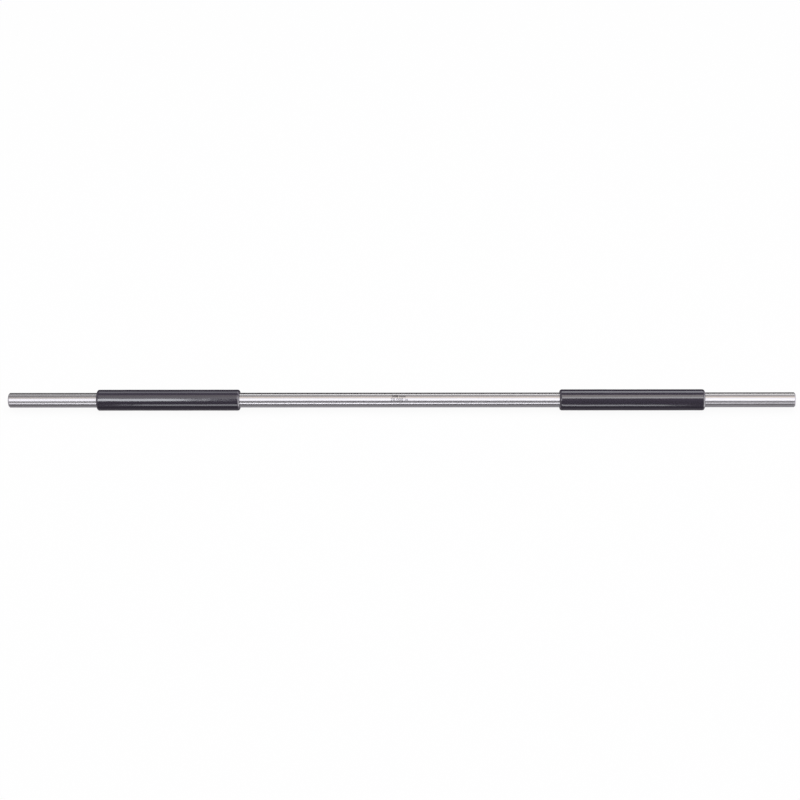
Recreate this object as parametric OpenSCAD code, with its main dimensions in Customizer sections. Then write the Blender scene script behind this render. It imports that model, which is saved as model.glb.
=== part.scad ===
// End measuring rod: a length standard for setting large micrometers. One slim ground steel
// rod carries two rubber sleeves, which keep the warmth of a hand away from the steel. The
// rod lies along X, and the origin is the middle of its length, on its axis.

/* [Rod] */
// Length of the rod over its two measuring faces
rod_length = 508; // [430:0.5:600]
// Diameter of the ground rod
rod_diameter = 9.525; // [8:0.005:12]
// Width of the 45 degree chamfer round each measuring face
end_chamfer = 0.65; // [0.3:0.05:1.5]

/* [Grips] */
// Length of each rubber sleeve
grip_length = 93; // [60:0.1:120]
// Thickness of a sleeve's wall, stretched on the rod
grip_wall = 2.05; // [1.6:0.05:4]
// Radius of the round on the outer edge of each end of a sleeve
grip_edge_radius = 1.5; // [0.5:0.1:1.5]
// Distance from the rod's middle to the middle of each sleeve
grip_offset = 149.75; // [110:0.25:152]

/* [Hidden] */
rod_radius = rod_diameter / 2;
face_radius = rod_radius - end_chamfer;
grip_radius = rod_radius + grip_wall;
steel = [0.74, 0.73, 0.71];
black_rubber = [0.10, 0.10, 0.12];
$fn = 96;

// Turns a shape made about Z so that it lies about X, with its top at +X
module along_x() {
    rotate([0, 90, 0]) children();
}

// The rod's outline from its axis outwards: a flat face and a chamfer at each end
module rod_outline() {
    half = rod_length / 2;
    polygon([
        [0, -half],
        [face_radius, -half],
        [rod_radius, end_chamfer - half],
        [rod_radius, half - end_chamfer],
        [face_radius, half],
        [0, half]
    ]);
}

// The cut section of a sleeve's wall, with its two outer corners rounded
module grip_section() {
    straight = grip_length - 2 * grip_edge_radius;
    inner_strip = grip_wall - grip_edge_radius;
    translate([rod_radius, -grip_length / 2]) square([inner_strip, grip_length]);
    translate([rod_radius, -straight / 2]) square([grip_wall, straight]);
    for (end = [-1, 1]) intersection() {
        translate([grip_radius - grip_edge_radius, end * straight / 2]) circle(r = grip_edge_radius);
        translate([rod_radius, -grip_length / 2]) square([grip_wall, grip_length]);
    }
}

// A rubber sleeve on the rod, centred at x
module grip(x) {
    color(black_rubber) translate([x, 0, 0]) along_x() rotate_extrude() grip_section();
}

module measuring_rod() {
    color(steel) along_x() rotate_extrude() rod_outline();
}

module left_grip() {
    grip(-grip_offset);
}

module right_grip() {
    grip(grip_offset);
}

measuring_rod();
left_grip();
right_grip();
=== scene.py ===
import math

import bmesh
import bpy
from mathutils import Matrix, Vector, noise


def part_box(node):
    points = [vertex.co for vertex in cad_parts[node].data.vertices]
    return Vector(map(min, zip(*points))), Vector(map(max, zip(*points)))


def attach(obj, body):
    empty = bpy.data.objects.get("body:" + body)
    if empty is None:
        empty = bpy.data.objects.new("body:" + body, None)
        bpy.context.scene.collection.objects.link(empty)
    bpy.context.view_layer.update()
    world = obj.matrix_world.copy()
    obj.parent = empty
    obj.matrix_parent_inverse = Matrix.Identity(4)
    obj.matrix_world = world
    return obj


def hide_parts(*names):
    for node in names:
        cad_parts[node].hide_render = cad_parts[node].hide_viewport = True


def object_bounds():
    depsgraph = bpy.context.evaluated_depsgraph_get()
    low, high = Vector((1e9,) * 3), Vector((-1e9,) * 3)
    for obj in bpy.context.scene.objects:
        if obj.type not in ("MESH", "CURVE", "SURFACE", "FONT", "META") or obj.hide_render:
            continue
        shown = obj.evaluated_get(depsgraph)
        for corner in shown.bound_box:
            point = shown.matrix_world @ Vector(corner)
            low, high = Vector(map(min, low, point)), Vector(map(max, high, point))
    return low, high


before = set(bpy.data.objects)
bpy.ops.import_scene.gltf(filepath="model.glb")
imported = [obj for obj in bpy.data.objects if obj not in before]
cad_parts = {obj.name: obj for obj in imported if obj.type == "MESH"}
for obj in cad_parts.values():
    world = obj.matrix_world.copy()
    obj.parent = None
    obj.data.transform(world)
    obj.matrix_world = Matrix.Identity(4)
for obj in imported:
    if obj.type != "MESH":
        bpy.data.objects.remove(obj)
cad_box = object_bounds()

MM = 0.001

# ---------------------------------------------------------------- sizes, from the frame
ROD_LOW, ROD_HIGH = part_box("measuring_rod")
ROD_HALF = (ROD_HIGH.x - ROD_LOW.x) / 2
ROD_RADIUS = (ROD_HIGH.z - ROD_LOW.z) / 2
GRIP_LOW, GRIP_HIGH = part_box("left_grip")
GRIP_RADIUS = (GRIP_HIGH.z - GRIP_LOW.z) / 2
FLOOR_Z = cad_box[0].z

# ---------------------------------------------------------------- sizes of the finer shapes
CHAMFER = 0.65 * MM          # as in the CAD model
FINE_EDGE = 0.06 * MM        # round on each side of the rod's chamfer
GRIP_EDGE = 1.5 * MM         # round on a sleeve's outer edges, as in the CAD model
GRIP_LIP = 0.3 * MM          # round on a sleeve's inner edges
LIP_TAPER = 1.0 * MM         # length over which the bore closes in behind the lip
BORE_OVERLAP = 0.05 * MM     # how far a sleeve's bore is inside the rod's surface
WAVE_DEPTH = 0.06 * MM       # most that a sleeve's surface dips
WAVE_LENGTH = 11 * MM        # spacing of the dips along a sleeve
WAVES_ROUND = 1.3            # how quickly the dips change round a sleeve
LETTER_THICKNESS = 0.02 * MM
LETTER_SUNK = 0.01 * MM      # the part of that thickness inside the rod
LETTER_CUT = 0.12 * MM       # spacing of the cuts that let the lettering bend round the rod
LETTER_SPACING = 1.08        # times the font's own

# ---------------------------------------------------------------- camera
CAMERA_ELEVATION = 40        # degrees above the horizon
CAMERA_YAW = 1.9             # degrees; the camera stands this much to the right of what it looks at
CAMERA_ROLL = -0.04          # degrees
CAMERA_LENS = 85             # mm
SENSOR_WIDTH = 36            # mm
CLIP_NEAR, CLIP_FAR = 0.05, 60
FRAME_WIDTH = 517.1 * MM     # what the picture spans at the rod
AIM = Vector((0.43 * MM, 0, 0))


def facing_axis(elevation):
    """The turn of a camera or lamp that looks at the rod's axis from that elevation, in degrees."""
    return Matrix.Rotation(math.radians(90 - elevation), 4, "X")


def round_x(elevation, distance, x=0.0):
    """A point that far from the rod's axis. Elevation 0 is in front (-Y), 90 overhead, 180 behind."""
    a = math.radians(elevation)
    return Vector((x, -distance * math.cos(a), distance * math.sin(a)))


def make_camera():
    data = bpy.data.cameras.new("camera")
    data.sensor_width = SENSOR_WIDTH
    data.lens = CAMERA_LENS
    data.clip_start = CLIP_NEAR
    data.clip_end = CLIP_FAR
    distance = FRAME_WIDTH * CAMERA_LENS / SENSOR_WIDTH
    cam = bpy.data.objects.new("camera", data)
    bpy.context.scene.collection.objects.link(cam)
    yaw = Matrix.Rotation(math.radians(CAMERA_YAW), 4, "Y")
    roll = Matrix.Rotation(math.radians(CAMERA_ROLL), 4, "Z")
    back = Matrix.Translation((0, 0, distance))
    cam.matrix_world = Matrix.Translation(AIM) @ facing_axis(CAMERA_ELEVATION) @ yaw @ back @ roll
    bpy.context.scene.camera = cam


# ---------------------------------------------------------------- shader nodes
def new_material(name):
    mat = bpy.data.materials.new(name)
    mat.use_nodes = True
    return mat, mat.node_tree.nodes, mat.node_tree.links, mat.node_tree.nodes["Principled BSDF"]


def add(nodes, kind, **settings):
    """A node with some of its properties set."""
    node = nodes.new("ShaderNode" + kind)
    for name, value in settings.items():
        setattr(node, name, value)
    return node


def combine(nodes, links, operation, one, two):
    """Arithmetic done by a node. Each of one and two is a number or a socket."""
    node = add(nodes, "Math", operation=operation)
    for socket, value in zip(node.inputs, (one, two)):
        if isinstance(value, (int, float)):
            socket.default_value = value
        else:
            links.new(value, socket)
    return node.outputs[0]


def ramp_of(nodes, links, value, low, high, shades):
    """A grey that follows value through shades, a list of (value, grey)."""
    along = add(nodes, "MapRange")
    along.inputs["From Min"].default_value = low
    along.inputs["From Max"].default_value = high
    ramp = add(nodes, "ValToRGB")
    links.new(value, along.inputs["Value"])
    links.new(along.outputs[0], ramp.inputs[0])
    stops = ramp.color_ramp.elements
    stops.remove(stops[1])
    for place, shade in shades:
        stop = stops.new((place - low) / (high - low))
        stop.color = (shade, shade, shade, 1)
    stops.remove(stops[0])
    return ramp.outputs["Color"]


# ---------------------------------------------------------------- meshes
ON_AXIS = 1e-9               # a radius smaller than this is a point on the axis


def revolve(name, profile, segments, shape=None, closed=False):
    """A mesh turned about X. profile is a list of (x, r). A closed profile is a loop; an open one starts
    on the axis. shape(x, r, angle) may change the radius."""
    bm = bmesh.new()
    rings = []
    for x, r in profile:
        if r < ON_AXIS:
            rings.append([bm.verts.new((x, 0, 0))])
            continue
        ring = []
        for k in range(segments):
            a = 2 * math.pi * k / segments
            rr = shape(x, r, a) if shape else r
            ring.append(bm.verts.new((x, rr * math.cos(a), rr * math.sin(a))))
        rings.append(ring)
    pairs = list(zip(rings, rings[1:]))
    if closed:
        pairs.append((rings[-1], rings[0]))
    for one, two in pairs:
        for k in range(segments):
            n = (k + 1) % segments
            if len(one) == 1:
                bm.faces.new((one[0], two[n], two[k]))
            elif len(two) == 1:
                bm.faces.new((one[k], one[n], two[0]))
            else:
                bm.faces.new((one[k], one[n], two[n], two[k]))
    bmesh.ops.recalc_face_normals(bm, faces=bm.faces)
    for face in bm.faces:
        face.smooth = True
    mesh = bpy.data.meshes.new(name)
    bm.to_mesh(mesh)
    bm.free()
    piece = bpy.data.objects.new(name, mesh)
    bpy.context.scene.collection.objects.link(piece)
    return piece


def arc(cx, cy, r, start, end, steps):
    """Points along an arc from start to end, in degrees."""
    out = []
    for k in range(steps + 1):
        a = math.radians(start + (end - start) * k / steps)
        out.append((cx + r * math.cos(a), cy + r * math.sin(a)))
    return out


def evenly(start, end, r, steps):
    """Points of one radius, evenly spaced from start to end."""
    return [(start + (end - start) * k / steps, r) for k in range(steps + 1)]


def rod_end_profile():
    """The left end, from the axis outwards: lapped face, fine edge, chamfer, fine edge, then the barrel."""
    edge = FINE_EDGE
    face = ROD_RADIUS - CHAMFER
    shoulder = CHAMFER - ROD_HALF
    slant = edge * math.sin(math.radians(45))    # where a fine edge meets the chamfer
    along, across = 0.3 * edge, 0.29 * edge      # a point part of the way round a fine edge
    return [
        (-ROD_HALF, 0.0),
        (-ROD_HALF, face * 0.5),
        (-ROD_HALF, face - 3 * edge),
        (-ROD_HALF, face - edge),
        (-ROD_HALF + across, face - along),
        (-ROD_HALF + slant, face + slant),
        (shoulder - slant, ROD_RADIUS - slant),
        (shoulder + along, ROD_RADIUS - across),
        (shoulder + edge, ROD_RADIUS),
        (shoulder + 3 * edge, ROD_RADIUS),
    ]


def make_rod():
    left = rod_end_profile()
    right = [(-x, r) for x, r in reversed(left)]
    start = CHAMFER - ROD_HALF + 10 * FINE_EDGE
    barrel = evenly(start, -start, ROD_RADIUS, steps=100)
    return revolve("ground_rod", left + barrel + right, segments=160)


def grip_profile(low, high):
    """A loop round the wall of a sleeve from low to high: barrel, outer round, end face, inner lip, bore, and
    the same at the other end."""
    first, last = low + GRIP_EDGE, high - GRIP_EDGE
    round_middle = GRIP_RADIUS - GRIP_EDGE
    lip_middle = ROD_RADIUS + GRIP_LIP
    bore = ROD_RADIUS - BORE_OVERLAP
    points = evenly(first, last, GRIP_RADIUS, steps=110)
    points += arc(last, round_middle, GRIP_EDGE, 90, 0, steps=10)[1:]
    points += arc(high - GRIP_LIP, lip_middle, GRIP_LIP, 0, -90, steps=5)
    points += [(high - GRIP_LIP - LIP_TAPER, bore), (low + GRIP_LIP + LIP_TAPER, bore)]
    points += arc(low + GRIP_LIP, lip_middle, GRIP_LIP, 270, 180, steps=5)
    points += arc(first, round_middle, GRIP_EDGE, 180, 90, steps=10)[:-1]
    return points


def make_grip(name, node, seed):
    """A sleeve whose outside wanders, as stretched rubber does. Its bore stays true."""
    low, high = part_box(node)

    def wander(x, r, a):
        share = max(0.0, (r - ROD_RADIUS) / (GRIP_RADIUS - ROD_RADIUS))
        p = Vector((x / WAVE_LENGTH + seed, WAVES_ROUND * math.cos(a), WAVES_ROUND * math.sin(a)))
        return r - share * WAVE_DEPTH * (0.5 + 0.5 * noise.noise(p))

    return revolve(name, grip_profile(low.x, high.x), segments=144, shape=wander, closed=True)


def flat_lettering(name, text, bold):
    """A mesh of flat letters in the XY plane. Its size isn't set yet."""
    curve = bpy.data.curves.new(name, "FONT")
    curve.body = text
    curve.size = 1.0
    curve.align_x = "CENTER"
    curve.align_y = "CENTER"
    curve.offset = bold
    curve.space_character = LETTER_SPACING
    curve.resolution_u = 4
    flat = bpy.data.objects.new(name + "_flat", curve)
    bpy.context.scene.collection.objects.link(flat)
    bpy.context.view_layer.update()
    mesh = bpy.data.meshes.new_from_object(flat.evaluated_get(bpy.context.evaluated_depsgraph_get()))
    bpy.data.objects.remove(flat)
    return mesh


def order_faces(bm):
    """Puts the faces in the order of their vertices, because cutting and extruding leave them in a different
    order each run."""
    bm.verts.index_update()
    count = len(bm.verts)

    def place(face):
        first, second, third = sorted(v.index for v in face.verts)[:3]
        return (first * count + second) * count + third

    bm.faces.sort(key=place)


def make_lettering(name, text, width, height, x_mid, angle_mid, bold):
    """Thin lettering, wrapped on the rod. angle_mid is above the camera's own direction, in degrees."""
    mesh = flat_lettering(name, text, bold)
    bm = bmesh.new()
    bm.from_mesh(mesh)
    bmesh.ops.remove_doubles(bm, verts=bm.verts, dist=1e-5)
    xs = [v.co.x for v in bm.verts]
    ys = [v.co.y for v in bm.verts]
    sx, sy = width / (max(xs) - min(xs)), height / (max(ys) - min(ys))
    cx, cy = (max(xs) + min(xs)) / 2, (max(ys) + min(ys)) / 2
    for v in bm.verts:
        v.co.x = (v.co.x - cx) * sx
        v.co.y = (v.co.y - cy) * sy
    cuts = int(height / LETTER_CUT / 2) + 1
    for i in range(-cuts, cuts + 1):
        geom = list(bm.verts) + list(bm.edges) + list(bm.faces)
        place = (0, i * LETTER_CUT, 0)
        bmesh.ops.bisect_plane(bm, geom=geom, dist=1e-8, plane_co=place, plane_no=(0, 1, 0))
    bmesh.ops.recalc_face_normals(bm, faces=bm.faces)
    raised = bmesh.ops.extrude_face_region(bm, geom=list(bm.faces))
    for v in raised["geom"]:
        if isinstance(v, bmesh.types.BMVert):
            v.co.z += LETTER_THICKNESS
    bmesh.ops.recalc_face_normals(bm, faces=bm.faces)
    for v in bm.verts:
        e = math.radians(CAMERA_ELEVATION + angle_mid) + v.co.y / ROD_RADIUS
        r = ROD_RADIUS - LETTER_SUNK + v.co.z
        v.co = Vector((x_mid + v.co.x, -r * math.cos(e), r * math.sin(e)))
    order_faces(bm)
    bm.to_mesh(mesh)
    bm.free()
    mesh.name = name
    piece = bpy.data.objects.new(name, mesh)
    bpy.context.scene.collection.objects.link(piece)
    return piece


# ---------------------------------------------------------------- materials
def stretched_noise(nodes, links, scale, detail=3.0, rough=0.55):
    """Noise in the piece's own space, with one count of grains per metre along each axis."""
    where = add(nodes, "TexCoord")
    stretch = add(nodes, "Mapping")
    stretch.inputs["Scale"].default_value = scale
    grains = add(nodes, "TexNoise")
    grains.inputs["Scale"].default_value = 1.0
    grains.inputs["Detail"].default_value = detail
    grains.inputs["Roughness"].default_value = rough
    links.new(where.outputs["Object"], stretch.inputs["Vector"])
    links.new(stretch.outputs["Vector"], grains.inputs["Vector"])
    return grains.outputs["Fac"]


def spread(nodes, links, value, low, high, start=0.3, end=0.7):
    """Maps start to end, which is the middle of a noise, onto low to high."""
    node = add(nodes, "MapRange")
    node.inputs["From Min"].default_value = start
    node.inputs["From Max"].default_value = end
    node.inputs["To Min"].default_value = low
    node.inputs["To Max"].default_value = high
    links.new(value, node.inputs["Value"])
    return node.outputs["Result"]


def blend_colours(nodes, links, value, one, two):
    node = add(nodes, "Mix", data_type="RGBA")
    node.inputs[6].default_value = (*one, 1)
    node.inputs[7].default_value = (*two, 1)
    links.new(value, node.inputs[0])
    return node.outputs[2]


def add_bump(nodes, links, bsdf, height, strength, depth):
    bump = add(nodes, "Bump")
    bump.inputs["Strength"].default_value = strength
    bump.inputs["Distance"].default_value = depth
    links.new(height, bump.inputs["Height"])
    links.new(bump.outputs["Normal"], bsdf.inputs["Normal"])


def steel_material():
    """Ground steel. Fine marks run round the bar, so highlights are drawn out along it. The end faces are
    lapped, which makes them smoother."""
    clean, worn = (0.465, 0.462, 0.460), (0.415, 0.411, 0.408)
    mat, nodes, links, bsdf = new_material("ground_steel")
    grind = stretched_noise(nodes, links, (5500, 90, 90), detail=4.0, rough=0.65)
    film = stretched_noise(nodes, links, (45, 160, 160))
    where = add(nodes, "TexCoord")
    parts = add(nodes, "SeparateXYZ")
    links.new(where.outputs["Object"], parts.inputs[0])
    from_middle = combine(nodes, links, "ABSOLUTE", parts.outputs["X"], 0)
    lapped = spread(nodes, links, from_middle, 1.0, 0.6,
                    start=ROD_HALF - FINE_EDGE, end=ROD_HALF - FINE_EDGE / 3)
    grind_roughness = spread(nodes, links, grind, 0.225, 0.26)
    film_roughness = spread(nodes, links, film, -0.008, 0.014)
    roughness = combine(nodes, links, "ADD", grind_roughness, film_roughness)
    links.new(combine(nodes, links, "MULTIPLY", roughness, lapped), bsdf.inputs["Roughness"])
    film_share = spread(nodes, links, film, 0.3, 0.7)
    grind_share = spread(nodes, links, grind, 0.6, 1.4)
    wear = combine(nodes, links, "MULTIPLY", film_share, grind_share)
    links.new(blend_colours(nodes, links, wear, clean, worn), bsdf.inputs["Base Color"])
    bsdf.inputs["Metallic"].default_value = 1.0
    bsdf.inputs["Anisotropic"].default_value = 0.6
    bsdf.inputs["Anisotropic Rotation"].default_value = 0.25
    tangent = add(nodes, "Tangent", direction_type="RADIAL", axis="X")
    links.new(tangent.outputs[0], bsdf.inputs["Tangent"])
    add_bump(nodes, links, bsdf, grind, strength=0.1, depth=0.002 * MM)
    return mat


def rubber_material():
    """Glossy moulded rubber, near black with a violet cast. It has a fine skin and a thin handling film."""
    clean, handled = (0.0110, 0.0088, 0.0148), (0.0128, 0.0104, 0.0170)
    mat, nodes, links, bsdf = new_material("grip_rubber")
    skin = stretched_noise(nodes, links, (900, 1300, 1300), detail=2.0)
    film = stretched_noise(nodes, links, (60, 140, 140), detail=4.0, rough=0.6)
    tone = blend_colours(nodes, links, spread(nodes, links, film, 0, 1), clean, handled)
    links.new(tone, bsdf.inputs["Base Color"])
    links.new(spread(nodes, links, film, 0.085, 0.125), bsdf.inputs["Roughness"])
    bsdf.inputs["IOR"].default_value = 1.79
    add_bump(nodes, links, bsdf, skin, strength=0.08, depth=0.01 * MM)
    return mat


def marking_material():
    """Dark etched lines, dull and slightly uneven."""
    dark, faded = (0.012, 0.011, 0.012), (0.028, 0.026, 0.027)
    mat, nodes, links, bsdf = new_material("etched_marking")
    grain = stretched_noise(nodes, links, (6000, 6000, 6000))
    links.new(blend_colours(nodes, links, grain, dark, faded), bsdf.inputs["Base Color"])
    links.new(spread(nodes, links, grain, 0.5, 0.75), bsdf.inputs["Roughness"])
    add_bump(nodes, links, bsdf, grain, strength=0.2, depth=0.004 * MM)
    return mat


# ---------------------------------------------------------------- studio
FLOOR_SHADE = 0.03           # how much light the floor takes, for the faint shadow
FLOOR_GLOW = 0.943
FLOOR_REACH, WALL_TOP, FLOOR_BEND = 6.0, 5.0, 2.0

# Strength of the dim room, as (elevation round the rod in degrees, strength). Elevation 0 is in front,
# 90 overhead and 180 behind.
ROOM_BY_ELEVATION = (
    (-180, 0.05), (-120, 0.18), (-90, 0.36), (-70, 0.24), (-52, 0.11), (-36, 0.22), (0, 0.22), (20, 0.20),
    (40, 0.30), (70, 0.34), (94, 0.27), (118, 0.24), (140, 0.22), (156, 0.06), (180, 0.05),
)
# What the room adds towards the rod's ends, as (direction, strength): -1 is left, 1 is right
ROOM_BY_SIDE = ((-1, 0.5), (-0.6, 0.25), (-0.3, 0), (0.3, 0), (0.5, 0.3), (0.8, 1.0), (1, 1.3))
ROOM_TINT = (1.06, 1.0, 1.1, 1)

PLAIN = (1, 1, 1)
WARM = (1, 0.94, 0.87)
WARMER = (1, 0.895, 0.74)
COOL = (0.935, 0.96, 1.0)
LILAC = (0.935, 0.93, 1.0)
ROSE = (1, 0.88, 0.86)

LAMP_DISTANCE = 1.3
# The camera is turned, so the reflections that it sees come from this far to the left
LAMP_SHIFT = -LAMP_DISTANCE * math.tan(math.radians(CAMERA_YAW))

# Each softbox: name, elevations of its two long edges in degrees, places in X of its left and right end
# before LAMP_SHIFT, radiance and colour. The mirror-like sleeves and the satin rod have their own.
GRIP_LAMPS = (
    ("back_left", 126, 150.5, -0.46, 0.00, 0.95, COOL),
    ("back_right", 126, 150.5, 0.00, 0.75, 1.95, COOL),
    ("top_left", 72, 96, -0.50, -0.05, 0.72, WARM),
    ("top_right", 72, 95, -0.05, 0.75, 1.7, WARM),
    ("top_left_front", 54, 72, -0.50, -0.05, 0.85, PLAIN),
    ("top_right_front", 55.5, 72, -0.05, 0.75, 3.1, PLAIN),
    ("window_left", 29.5, 54.5, -0.75, -0.275, 5.4, COOL),
    ("low_left", -24.5, -9, -0.36, 0.15, 2.3, COOL),
    ("low_right", -31, -15, 0.15, 0.36, 2.5, COOL),
)
ROD_LAMPS = (
    ("rod_edge_left", 152, 172, -1.2, -0.35, 0.3, PLAIN),
    ("rod_back_left", 130, 149, -1.2, -0.3, 0.42, PLAIN),
    ("rod_back_right", 130, 148, -0.3, 1.2, 1.9, PLAIN),
    ("rod_top", 108, 130, -1.2, 1.2, 0.44, PLAIN),
    ("rod_top_right", 89, 108, -0.35, 1.2, 0.53, ROSE),
    ("rod_front_left", 57, 82, -1.2, -0.35, 0.74, WARM),
    ("rod_front_right", 73, 89, -0.35, 1.2, 1.25, WARMER),
    ("rod_core_top", 57, 73, -0.35, 1.2, 1.68, LILAC),
    ("rod_core", 30, 57, -1.2, 1.2, 2.2, LILAC),
    ("rod_core_left", 20, 30, -1.2, -0.35, 1.8, LILAC),
    ("rod_core_right", 20, 30, 0.3, 1.2, 1.9, LILAC),
    ("rod_level_left", -6, 10, -1.2, -0.35, 0.5, PLAIN),
    ("rod_level", -6, 10, -0.35, 1.2, 0.2, PLAIN),
    ("rod_low_left", -22, -7, -1.2, -0.5, 1.15, LILAC),
    ("rod_low_middle", -22, -7, -0.5, 0.3, 2.85, LILAC),
    ("rod_low_right", -22, -7, 0.3, 1.2, 1.1, LILAC),
    ("rod_under_left", -100, -44, -1.2, -0.4, 0.12, LILAC),
    ("rod_under", -100, -44, -0.4, 1.2, 0.28, LILAC),
)
SIDE_LAMP = ("side_right", -40, 40, -0.8, 0.8, 2.6, PLAIN)
SIDE_TURN = 75               # degrees, from the front towards the right end of the rod
OVERHEAD_SIZE, OVERHEAD_HEIGHT, OVERHEAD_POWER = 2.2, 1.8, 60


def make_world():
    world = bpy.data.worlds.new("studio")
    bpy.context.scene.world = world
    world.use_nodes = True
    nodes, links = world.node_tree.nodes, world.node_tree.links
    where = add(nodes, "TexCoord")
    parts = add(nodes, "SeparateXYZ")
    links.new(where.outputs["Generated"], parts.inputs[0])
    front = combine(nodes, links, "MULTIPLY", parts.outputs["Y"], -1)
    angle = combine(nodes, links, "ARCTAN2", parts.outputs["Z"], front)
    elevation = combine(nodes, links, "MULTIPLY", angle, 180 / math.pi)
    around = ramp_of(nodes, links, elevation, -180, 180, ROOM_BY_ELEVATION)
    sides = ramp_of(nodes, links, parts.outputs["X"], -1, 1, ROOM_BY_SIDE)
    back = nodes["Background"]
    back.inputs["Color"].default_value = ROOM_TINT
    links.new(combine(nodes, links, "ADD", around, sides), back.inputs["Strength"])


def make_floor():
    """A pale floor that curves up into a pale wall far off. It glows, so that it stays plain from every side,
    and takes just enough light for a faint shadow under the part."""
    profile = [(0.0, 0.0)]
    profile += arc(FLOOR_BEND, FLOOR_REACH - FLOOR_BEND, FLOOR_BEND, 180, 90, steps=12)
    profile += [(WALL_TOP, FLOOR_REACH)]
    floor = revolve("floor", profile, segments=64)
    floor.data.transform(Matrix.Translation((0, 0, FLOOR_Z)) @ Matrix.Rotation(math.radians(-90), 4, "Y"))
    mat, nodes, links, bsdf = new_material("floor_paper")
    bsdf.inputs["Base Color"].default_value = (FLOOR_SHADE, FLOOR_SHADE, FLOOR_SHADE, 1)
    bsdf.inputs["Roughness"].default_value = 1.0
    bsdf.inputs["Specular IOR Level"].default_value = 0.0
    bsdf.inputs["Emission Color"].default_value = (1, 1, 1, 1)
    bsdf.inputs["Emission Strength"].default_value = FLOOR_GLOW
    floor.data.materials.append(mat)
    floor.visible_glossy = False
    floor.visible_diffuse = False
    floor.visible_shadow = False
    return floor


def add_lamp(data, only):
    """A lamp that the camera doesn't see and that lights only the pieces in one collection."""
    lamp = bpy.data.objects.new(data.name, data)
    bpy.context.scene.collection.objects.link(lamp)
    lamp.visible_camera = False
    lamp.light_linking.receiver_collection = only
    return lamp


def strip(name, low, high, left, right, radiance, colour, only):
    """A softbox along X that faces the rod, described as in GRIP_LAMPS and ROD_LAMPS."""
    middle = (low + high) / 2
    data = bpy.data.lights.new(name, "AREA")
    data.shape = "RECTANGLE"
    data.size = right - left
    data.size_y = 2 * LAMP_DISTANCE * math.tan(math.radians((high - low) / 2))
    data.energy = radiance * math.pi * data.size * data.size_y
    data.color = colour
    lamp = add_lamp(data, only)
    place = round_x(middle, LAMP_DISTANCE, (left + right) / 2 + LAMP_SHIFT)
    lamp.matrix_world = Matrix.Translation(place) @ facing_axis(middle)
    return lamp


def make_lights(rod_only, grips_only, dull_only):
    for lamp in GRIP_LAMPS:
        strip(*lamp, grips_only)
    for lamp in ROD_LAMPS:
        strip(*lamp, rod_only)
    side = strip(*SIDE_LAMP, grips_only)
    side.matrix_world = Matrix.Rotation(math.radians(SIDE_TURN), 4, "Z") @ side.matrix_world
    data = bpy.data.lights.new("overhead", "AREA")
    data.shape = "SQUARE"
    data.size = OVERHEAD_SIZE
    data.energy = OVERHEAD_POWER
    overhead = add_lamp(data, dull_only)
    overhead.location = (0, 0, OVERHEAD_HEIGHT)
    overhead.visible_glossy = False


# ---------------------------------------------------------------- assembly
def link_group(name, pieces):
    """A collection outside the scene, for a lamp to be linked to."""
    group = bpy.data.collections.new(name)
    for piece in pieces:
        group.objects.link(piece)
    return group


def finish_piece(piece, slot, material, *nodes):
    piece.data.materials.clear()
    piece.data.materials.append(material)
    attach(piece, "root")
    if nodes:
        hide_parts(*nodes)


make_camera()
make_world()
floor = make_floor()
rod = make_rod()
left = make_grip("left_sleeve", "left_grip", seed=3.1)
right = make_grip("right_sleeve", "right_grip", seed=9.7)
marks = [
    make_lettering("marking_metric", "508 mm", width=8.6 * MM, height=1.85 * MM,
                   x_mid=-0.25 * MM, angle_mid=31.5, bold=0.02),
    make_lettering("marking_inch", "20.000 in", width=11.0 * MM, height=1.95 * MM,
                   x_mid=0.1 * MM, angle_mid=4.0, bold=0.0),
]
steel = steel_material()
rubber = rubber_material()
ink = marking_material()
finish_piece(rod, "ground_steel", steel, "measuring_rod")
finish_piece(left, "grip_rubber", rubber, "left_grip")
finish_piece(right, "grip_rubber", rubber, "right_grip")
for mark in marks:
    finish_piece(mark, "etched_marking", ink)
make_lights(link_group("rod_only", [rod]), link_group("grips_only", [left, right]),
            link_group("dull_only", [floor, left, right, *marks]))

view = bpy.context.scene.view_settings
view.view_transform = "Standard"
view.look = "None"
